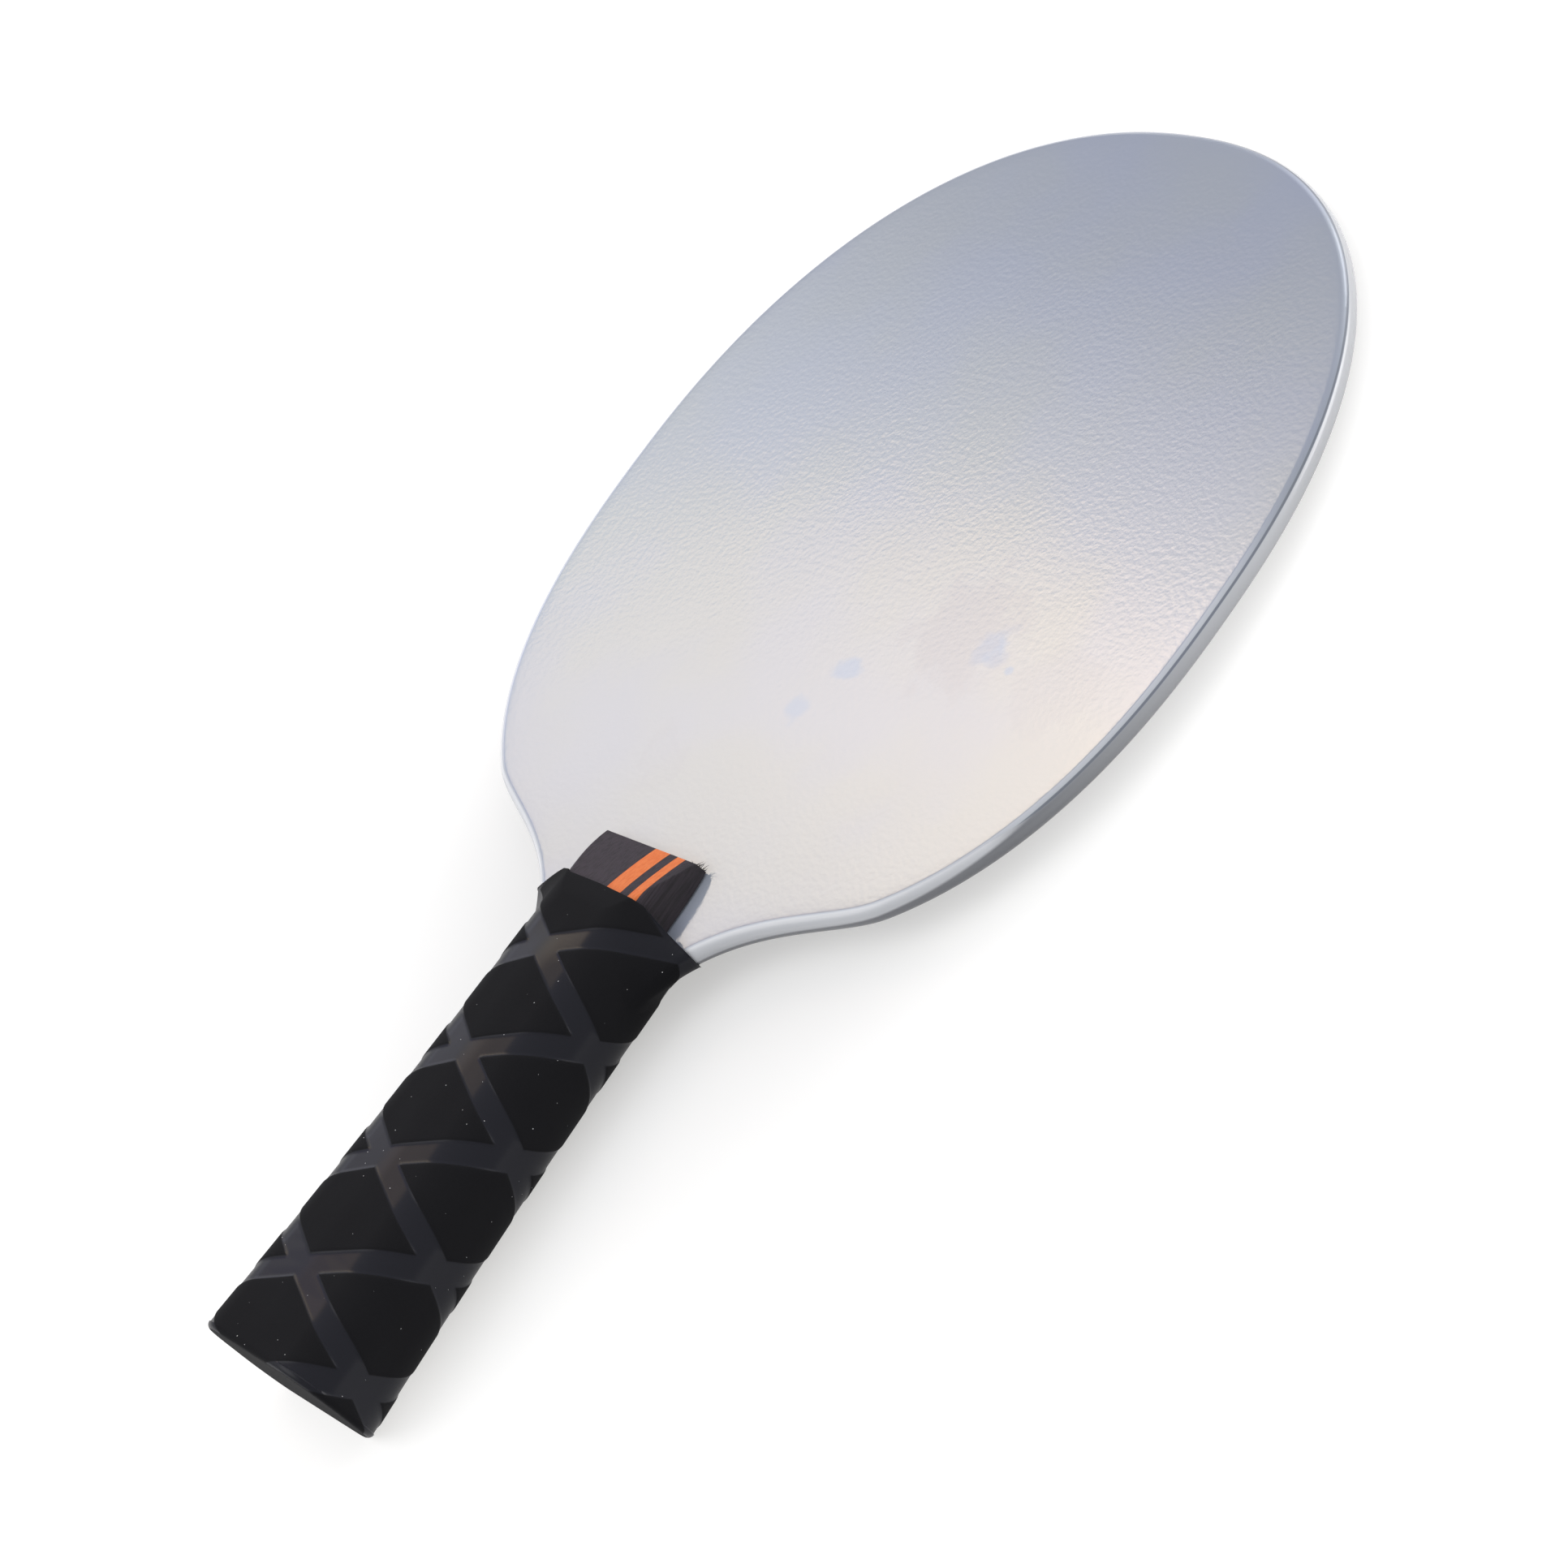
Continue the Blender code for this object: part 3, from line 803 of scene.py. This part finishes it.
def add_dust(tree, place, colour, per_metre, share, radius, dust_colour):
    """Lays specks over a colour."""
    inputs = {"Place": place, "Per Metre": per_metre, "Share": share, "Radius": radius}
    return mix_colours(tree, use_group(tree, dust, inputs)["Mask"], colour, dust_colour)


# %% [markdown]
# ## Coated metal
# The plate is sprayed with a silver paint. Under its thin clear skin lie fine metal flakes, so it
# is partly a plain pale grey and partly a weak, soft mirror. The material has a low metallic
# share for the flakes, and its roughness blurs a lamp's edge over a few degrees. The skin has a
# fine orange peel, a bump of about a millimetre, and faint clouds in colour and gloss.

# %% Coated metal: paint with faint clouds
METAL_COLOUR = (0.342, 0.374, 0.441, 1)
CLOUD_SHADE = 0.965
COOL_TINT, WARM_TINT = (0.98, 0.98, 1.02, 1), (1.01, 1.0, 0.97, 1)
metal, tree, place = new_material("coated_metal_finish")
clouds = noise(tree, place, 38.0, 4.0)
darker = tuple(CLOUD_SHADE * channel for channel in METAL_COLOUR[:3]) + (1,)
colour = mix_colours(tree, clouds, METAL_COLOUR, darker)
tint = step_between(tree, noise(tree, place, 24.0, 3.0), 0.38, 0.62)
tint = mix_colours(tree, tint, COOL_TINT, WARM_TINT)
colour = mix_colours(tree, 1.0, colour, tint, "MULTIPLY")
print("darker paint:", np.round(darker[:3], 3))

# %% [markdown]
# Round the rim the metal flakes are left out, and its colour is painted light and shade: a lit
# copy of the colour towards the tip, on the left and along its upper side near the grip, and a
# shaded copy elsewhere. Where the face breaks over into the rim a pale line is a painted
# highlight, and on the right a dark line just outside it is painted shade. Each is a product of
# masks: where it lies along the racket, and between which heights from the plate's middle plane.

# %% Coated metal: masks along the racket and up its edge
# Each pair is where a mask is 0 and where it is 1
LEFT_SIDE = (0.010, -0.030)
ALONG = {"near grip": (-0.040, -0.052), "to the tip": (-0.054, 0.015), "to the grip": (0.025, -0.005)}
# Heights of the rim's painted light on the left, its painted highlight and its painted shade line
HEIGHTS = {
    "lit left band": (0.00148, 0.00160),
    "break top": (0.001978, 0.00195),
    "break foot": (0.00158, 0.00168),
    "shade line top": (0.00168, 0.00158),
    "shade line foot": (0.00132, 0.00140),
}
RIM_LIMIT = (0.00142, 0.00128)
RIM_WIDENING = 0.00054
# Share of the rim mask: there the flakes are left out and the colour is painted light and shade
RIM_SHARE = 0.95
UPPER_SIDE = (0.0009, 0.0014)
UPPER_SIDE_START = -0.050
UPPER_SIDE_SLOPE = 0.045
across, forward, up = node(tree, "ShaderNodeSeparateXYZ", {0: place}).outputs
from_middle = maths(tree, "ABSOLUTE", up)
left = step_between(tree, across, *LEFT_SIDE)
along = {}
for name, (none, full) in ALONG.items():
    along[name] = step_between(tree, forward, WIDEST_LINE + none, WIDEST_LINE + full)
height = {name: step_between(tree, from_middle, *limits) for name, limits in HEIGHTS.items()}
wide_rim = maths(tree, "MAXIMUM", left, along["near grip"])
depth = maths(tree, "SUBTRACT", from_middle, product(tree, wide_rim, RIM_WIDENING))
rim = product(tree, step_between(tree, depth, *RIM_LIMIT), RIM_SHARE)
rise = maths(tree, "SUBTRACT", forward, WIDEST_LINE + UPPER_SIDE_START)
level = maths(tree, "SUBTRACT", up, product(tree, rise, UPPER_SIDE_SLOPE))
upper_side = step_between(tree, level, *UPPER_SIDE)
print("masks:", ", ".join([*along, *height]))

# %% Coated metal: the rim's painted light and shade
# Lit and shaded copies of the rim's colour, then a painted highlight and a painted shade line
RIM_LIT, RIM_SHADED = (0.85, 0.86, 0.88, 1), (0.22, 0.225, 0.24, 1)
PAINTED_HIGHLIGHT, PAINTED_SHADE_LINE = (0.62, 0.64, 0.67, 1), (0.08, 0.085, 0.10, 1)
PAINTED_LIGHT_SHARE, LIT, HIGHLIGHT_SHARE, SHADE_LINE_SHARE = 0.60, 0.70, 0.80, 0.52
# Painted light on the rim towards the tip and on the left
painted_light_tip_left = product(tree, maths(tree, "MAXIMUM", left, along["to the tip"]), PAINTED_LIGHT_SHARE)
lit_left_band = product(tree, left, height["lit left band"])
# Painted light along the rim's upper side near the grip
lit_band = product(tree, along["near grip"], upper_side, LIT)
pale = maths(tree, "MAXIMUM", maths(tree, "MAXIMUM", lit_left_band, lit_band), painted_light_tip_left)
low_or_left = maths(tree, "MAXIMUM", along["to the grip"], left)
# A painted highlight line where the face breaks over into the rim, low on the racket and on the left
painted_highlight_line = product(tree, low_or_left, height["break top"], height["break foot"], HIGHLIGHT_SHARE)
colour = mix_colours(tree, painted_highlight_line, colour, PAINTED_HIGHLIGHT)
# A painted shade line just outside the highlight, left out on the left and near the grip
painted_shade_line = product(tree, height["shade line top"], height["shade line foot"], opposite(tree, wide_rim), SHADE_LINE_SHARE)
colour = mix_colours(tree, painted_shade_line, colour, PAINTED_SHADE_LINE)
# The rim's colour: the lit copy where the painted light masks reach, the shaded copy elsewhere
colour = mix_colours(tree, rim, colour, mix_colours(tree, pale, RIM_SHADED, RIM_LIT))
print(f"paint and rim: {len(tree.nodes)} nodes")

# %% [markdown]
# The front face's colour has soft ragged bluish blots and some greyish mauve ones mixed into it,
# and some are hollow rings. One group makes such a blot from the distance to its centre, with
# noise in the radius.

# %% Group: soft blot
blot_inputs = {"Place": None, "Centre": None, "Radius": 0.006, "Hollow": 0.0}
smear, blot_in, blot_out = new_group("soft_blot", blot_inputs, "Mask")
offset = vectors(smear, "SUBTRACT", blot_in["Place"], blot_in["Centre"])[0]
gap = vectors(smear, "LENGTH", offset)["Value"]
wobble = noise(smear, blot_in["Place"], 230.0, 3.0)
ratio = maths(smear, "DIVIDE", gap, product(smear, wobble, 2.0, blot_in["Radius"]))
filled = step_between(smear, ratio, 1.0, 0.45)
emptied = product(smear, blot_in["Hollow"], step_between(smear, ratio, 0.85, 0.5))
smear.links.new(product(smear, filled, opposite(smear, emptied)), blot_out["Mask"])
print(f"{smear.name}: {len(smear.nodes)} nodes")

# %% Coated metal: blots, dust and shine
BLUE, MAUVE = (0.19, 0.29, 0.50, 1), (0.305, 0.325, 0.395, 1)
# Each blot's x, y from the widest line, radius, hollow share, colour and strength
BLOTS = (
    (0.0371, -0.0189, 0.0050, 0.0, BLUE, 0.60),
    (0.0115, -0.0296, 0.0034, 0.0, BLUE, 0.38),
    (0.0065, -0.0390, 0.0030, 0.0, BLUE, 0.30),
    (0.0442, -0.0220, 0.0012, 0.0, BLUE, 0.40),
    (0.0300, -0.0175, 0.0140, 0.0, MAUVE, 0.60),
    (0.0548, -0.0232, 0.0100, 0.40, MAUVE, 0.45),
    (-0.0147, -0.0554, 0.0072, 0.80, MAUVE, 0.50),
)
FLAKE_SHARE = 0.20
for x, y, radius, hollow, mark, strength in BLOTS:
    spot = {"Place": place, "Centre": (x, y + WIDEST_LINE, THICKNESS / 2), "Radius": radius}
    spot = use_group(tree, smear, {**spot, "Hollow": hollow})["Mask"]
    colour = mix_colours(tree, product(tree, spot, strength), colour, mark)
colour = add_dust(tree, place, colour, 95.0, 0.10, 0.014, (0.8, 0.8, 0.8, 1))
finish = {
    "Base Color": colour,
    "Metallic": product(tree, opposite(tree, rim), FLAKE_SHARE),
    "Roughness": ranging(tree, clouds, 0.075, 0.105),
    "Normal": bump(tree, noise(tree, place, 1000.0, 1.5), 0.22, 0.00008),
}
complete(metal, finish, blade)

# %% [markdown]
# ## Dyed wood
# The scales are veneers dyed through, dark grey with a hint of mauve and bright orange. Both show
# the same straight fibres along the handle, so the grain is one group: a noise that is stretched
# almost thirty times along Y, and dark pores cut from it at a higher contrast. On the last strip,
# where the side is turned over, painted shade mixes the colour towards black.

# %% Group: straight grain
grain_inputs = {"Place": None, "Per Metre": 2600.0}
grain, grain_in, grain_out = new_group("straight_grain", grain_inputs, "Fibres", "Pores")
stretched = vectors(grain, "MULTIPLY", grain_in["Place"], (1.0, 0.035, 1.0))[0]
lines = noise(grain, stretched, grain_in["Per Metre"], 6.0, 0.65)
grain.links.new(step_between(grain, lines, 0.33, 0.67), grain_out["Fibres"])
grain.links.new(step_between(grain, lines, 0.62, 0.74), grain_out["Pores"])
print(f"{grain.name}: {len(grain.nodes)} nodes")

# %% Materials: dark and orange wood
PORE_SHARE = 0.6
# Where painted shade darkens the turned-over side, and how strongly
SIDE_SHADE_REACH = (0.0092, 0.0118)
SIDE_SHADE_SHARE = 0.45
BLACK = (0, 0, 0, 1)
WOOD_DUST = (0.55, 0.53, 0.50, 1)


def wood_finish(name, colour, pale, pore, dusty):
    """A dyed wood: fibres from its colour to a paler one, pores darker, painted shade on the
    turned-over side, and some dust.
    """
    made, tree, place = new_material(name)
    lines = use_group(tree, grain, {"Place": place})
    look = mix_colours(tree, lines["Fibres"], colour, pale)
    look = mix_colours(tree, product(tree, lines["Pores"], PORE_SHARE), look, pore)
    across, _, up = node(tree, "ShaderNodeSeparateXYZ", {0: place}).outputs
    # Painted shade: the turned-over side of the last strip is mixed towards black
    outwards = product(tree, across, maths(tree, "SIGN", up))
    painted_side_shade = product(tree, step_between(tree, outwards, *SIDE_SHADE_REACH), SIDE_SHADE_SHARE)
    look = mix_colours(tree, painted_side_shade, look, BLACK)
    finish = {
        "Base Color": add_dust(tree, place, look, 520.0, dusty, 0.045, WOOD_DUST),
        "Roughness": ranging(tree, lines["Fibres"], 0.50, 0.68),
        "Normal": bump(tree, lines["Fibres"], 0.25, 0.0002),
        "Specular IOR Level": 0.25,
    }
    complete(made, finish)
    return made


DARK = (0.019, 0.014, 0.018, 1)
DARK_PALE = (0.050, 0.039, 0.049, 1)
DARK_PORE = (0.016, 0.013, 0.016, 1)
ORANGE = (0.66, 0.145, 0.034, 1)
ORANGE_PALE = (0.74, 0.210, 0.066, 1)
ORANGE_PORE = (0.48, 0.095, 0.02, 1)
dark_wood = wood_finish("dark_wood_finish", DARK, DARK_PALE, DARK_PORE, 0.05)
orange_wood = wood_finish("orange_wood_finish", ORANGE, ORANGE_PALE, ORANGE_PORE, 0.01)
for name, strip in strips.items():
    strip.data.materials.append(orange_wood if "orange" in name else dark_wood)

# %% [markdown]
# ## Glue
# A thin dark film of set glue bonds each scale to the tang. Only its edge could ever show. The
# CAD node has the right shape, so it stays and only gets a better material.

# %% Material: glue film
BROWN, PALER_BROWN = (0.030, 0.022, 0.018, 1), (0.052, 0.040, 0.032, 1)
glue, tree, place = new_material("glue_finish")
swirl = noise(tree, place, 220.0)
finish = {
    "Base Color": mix_colours(tree, swirl, BROWN, PALER_BROWN),
    "Roughness": ranging(tree, swirl, 0.25, 0.40),
}
complete(glue, finish)
for name in ("front_glue_film", "back_glue_film"):
    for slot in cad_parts[name].material_slots:
        slot.material = glue

# %% [markdown]
# ## Grip rubber
# The pads are dull and swallow light, while the bands between them have a satin shine. The bands
# are found from the UV map with the same formula as in the mesh. Their shine is a second, coat
# layer of the shader, weighted by the mask, because the coat's weight may vary over a surface
# while the base layer's reflection is one fixed number.

# %% Grip rubber: the bands, from the UV map
BAND_EDGE = BAND_WIDTH / 2 / (PERIOD * BAND_LEAN)
EDGE_SOFTNESS = 0.006
rubber, tree, place = new_material("grip_rubber_finish")
wrap = node(tree, "ShaderNodeUVMap", uv_map="wrap").outputs[0]
u_round, v_along, _ = node(tree, "ShaderNodeSeparateXYZ", {0: wrap}).outputs
half_turn = product(tree, u_round, 0.5)
lines = [maths(tree, operation, v_along, half_turn) for operation in ("ADD", "SUBTRACT")]
nearest = maths(tree, "MINIMUM", *[maths(tree, "PINGPONG", line, 0.5) for line in lines])
band = step_between(tree, nearest, BAND_EDGE + EDGE_SOFTNESS, BAND_EDGE - EDGE_SOFTNESS)
print(f"band's edge: {BAND_EDGE:.4f} of a period")

# %% Grip rubber: colour, dust and shine
PAD_DARK, PAD_PALE = (0.0046, 0.0045, 0.0056, 1), (0.0068, 0.0067, 0.0082, 1)
# The bands' colour is the rubber's own with a painted bluish sheen in it
BAND_COLOUR_WITH_SHEEN = (0.0066, 0.0068, 0.0115, 1)
COAT_SHARE = 0.37
pad_colour = mix_colours(tree, noise(tree, place, 120.0), PAD_DARK, PAD_PALE)
colour = mix_colours(tree, band, pad_colour, BAND_COLOUR_WITH_SHEEN)
weave = product(tree, noise(tree, place, 3200.0, 3.0), opposite(tree, band))
finish = {
    "Base Color": add_dust(tree, place, colour, 600.0, 0.85, 0.036, (0.62, 0.62, 0.62, 1)),
    "Roughness": 0.85,
    "Specular IOR Level": 0.16,
    "Coat Roughness": 0.21,
    "Coat IOR": 1.45,
    "Coat Weight": product(tree, band, COAT_SHARE),
    "Normal": bump(tree, weave, 0.30, 0.00006),
}
complete(rubber, finish, sleeve)

# %% [markdown]
# ## Floor, dome and lamp
# The racket lies as it would on a table, on the butt's lower edge and the back of its tip, so the
# floor leans two degrees against the racket. What the metal shows is its surroundings, so these
# matter more than any lamp. They are a dome of pale grey-blue with soft patches added to it: a
# window behind the racket on the left, whose reflection fills the lower half of the face, weaker
# light below it, low and high on the left and behind the tip, and a low bright patch on the right
# that lights the tip's edge. The far sky and the window's left side are bluer. Four patches take
# light away, so that the grip's bands fade to the right and the plate's near edge goes dark.

# %% Floor
FLOOR_REACH = 6.0
FLOOR_GAP = 0.0001
low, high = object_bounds()
lean_angle = math.atan2(-THICKNESS / 2 - low.z, high.y - low.y)
corners = np.array([(-1, -1), (1, -1), (1, 1), (-1, 1)]) * FLOOR_REACH
floor_z = low.z - FLOOR_GAP + (corners[:, 1] - low.y) * math.tan(lean_angle)
floor_mesh = bpy.data.meshes.new("floor")
floor_mesh.from_pydata(np.column_stack([corners, floor_z]).tolist(), [], [(0, 1, 2, 3)])
floor = bpy.data.objects.new("floor", floor_mesh)
bpy.context.scene.collection.objects.link(floor)
print(f"floor leans {math.degrees(lean_angle):.2f} degrees")

# %% [markdown]
# The floor is matt grey card. Light of its own, for the camera and for reflections only, brings it
# up to white a little way out from the racket; nearer the racket that light is weaker, which paints
# a shade round it. Its face is open from below, so that a camera under it still sees the racket's back.

# %% Material: floor
CARD_DARK, CARD_PALE = (0.44, 0.44, 0.44, 1), (0.46, 0.46, 0.46, 1)
CARD_GLOW = 0.80
# Where the glow rises from its weaker, painted-shade level near the racket to full, and that level
PAINTED_SHADE_REACH = (0.05, 0.20)
GLOW_IN_PAINTED_SHADE = 0.6
floor_finish, tree, place = new_material("floor_finish")
paths = node(tree, "ShaderNodeLightPath").outputs
seen = maths(tree, "MAXIMUM", paths["Is Camera Ray"], paths["Is Glossy Ray"])
seen = maths(tree, "MAXIMUM", seen, paths["Is Transmission Ray"])
oval = vectors(tree, "MULTIPLY", place, (1.6, 1, 1))[0]
outwards = step_between(tree, vectors(tree, "LENGTH", oval)["Value"], *PAINTED_SHADE_REACH)
# The glow is weaker near the racket, which paints a shade round it
glow = maths(tree, "ADD", product(tree, outwards, 1 - GLOW_IN_PAINTED_SHADE), GLOW_IN_PAINTED_SHADE)
finish = {
    "Base Color": mix_colours(tree, noise(tree, place, 60.0), CARD_DARK, CARD_PALE),
    "Roughness": 1.0,
    "Specular IOR Level": 0.0,
    "Emission Color": (1, 0.99, 0.97, 1),
    "Emission Strength": product(tree, seen, glow, CARD_GLOW),
}
card = tree.nodes["Principled BSDF"].outputs[0]
under = node(tree, "ShaderNodeNewGeometry").outputs["Backfacing"]
clear = node(tree, "ShaderNodeBsdfTransparent").outputs[0]
sheet = node(tree, "ShaderNodeMixShader", {0: under, 1: card, 2: clear}).outputs[0]
fill(tree, tree.nodes["Material Output"], {"Surface": sheet})
complete(floor_finish, finish, floor)


# %% Dome
def toward(azimuth, elevation):
    """The unit vector (cos e cos a, cos e sin a, sin e)."""
    a, e = math.radians(azimuth), math.radians(elevation)
    return (math.cos(e) * math.cos(a), math.cos(e) * math.sin(a), math.sin(e))


def add_patch(tree, heading, light, azimuth, elevation, inner, outer, colour):
    """Adds colour inside a round patch of sky. It fades by a smooth step from inner to outer."""
    facing = vectors(tree, "DOT_PRODUCT", heading, toward(azimuth, elevation))["Value"]
    away = maths(tree, "ARCCOSINE", facing)
    share = step_between(tree, away, math.radians(outer), math.radians(inner))
    return mix_colours(tree, share, light, (*colour, 1), "ADD")


DOME_COLOUR = (0.60, 0.61, 0.63, 1)
# Each patch's azimuth and elevation, where its fade starts and ends, in degrees, and its colour
PATCHES = {
    "far sky": (152, 36, 14, 60, (-0.30, -0.10, 0.06)),
    "window": (165.2, 41.0, 7.5, 9.15, (1.15, 0.70, 0.28)),
    "window's bright half": (156.5, 42.1, 0, 9.4, (3.05, 2.50, 1.75)),
    "window's bright corner": (154.8, 41.5, 1.0, 3.2, (1.0, 0.75, 0.60)),
    "window's haze": (163.6, 34.9, 0, 11.9, (2.02, 1.98, 1.66)),
    "left of the window": (177, 38, 3, 9.5, (-0.45, -0.08, 0.50)),
    "below the window": (168, 22, 2, 11, (1.4, 1.4, 1.65)),
    "low on the left": (167, 12, 0, 16, (0.7, 0.7, 0.75)),
    "behind the tip": (104, 20, 8, 32, (1.6, 1.6, 1.6)),
    "low on the right": (58, 5, 10, 31, (5.1, 5.1, 5.1)),
    "high on the left": (-130, 50, 10, 34, (2.0, 2.0, 2.0)),
    "dark above the window": (155, 65, 10, 18, (-0.60, -0.61, -0.63)),
    "dark right": (40, 62, 22, 48, (-0.62, -0.63, -0.66)),
    "dark low right": (8, 28, 12, 26, (-0.50, -0.51, -0.53)),
    "dark in front": (-82, 10, 14, 42, (-0.6, -0.6, -0.6)),
}
world = bpy.data.worlds.new("studio_dome")
bpy.context.scene.world = world
world.use_nodes = True
tree = world.node_tree
heading = node(tree, "ShaderNodeTexCoord").outputs["Generated"]
light = DOME_COLOUR
for azimuth, elevation, inner, outer, colour in PATCHES.values():
    light = add_patch(tree, heading, light, azimuth, elevation, inner, outer, colour)
light = vectors(tree, "MAXIMUM", light, (0, 0, 0))[0]
tree.links.new(light, tree.nodes["Background"].inputs["Color"])
print("dome:", ", ".join(PATCHES))


# %% [markdown]
# One faint round lamp behind the tip faces the racket. Its power is radiance times pi times area.

# %% Lamp
LAMP_AZIMUTH, LAMP_ELEVATION, LAMP_DISTANCE = 100, 24, 3.0
LAMP_HALF_ANGLE = 10
LAMP_RADIANCE = 1.5
bulb = bpy.data.lights.new("back_lamp", "AREA")
bulb.shape = "DISK"
bulb.size = 2 * LAMP_DISTANCE * math.tan(math.radians(LAMP_HALF_ANGLE))
bulb.color = (1.0, 0.99, 0.98)
bulb.energy = LAMP_RADIANCE * math.pi * math.pi * bulb.size**2 / 4
lamp = bpy.data.objects.new("back_lamp", bulb)
lamp.location = np.array(toward(LAMP_AZIMUTH, LAMP_ELEVATION)) * LAMP_DISTANCE + (0, WIDEST_LINE, 0)
lamp.rotation_euler = (math.radians(90 - LAMP_ELEVATION), 0, math.radians(90 + LAMP_AZIMUTH))
bpy.context.scene.collection.objects.link(lamp)
print(f"{lamp.name}: {bulb.energy:.1f} W")

# %% Plain view settings
bpy.context.scene.view_settings.view_transform = "Standard"
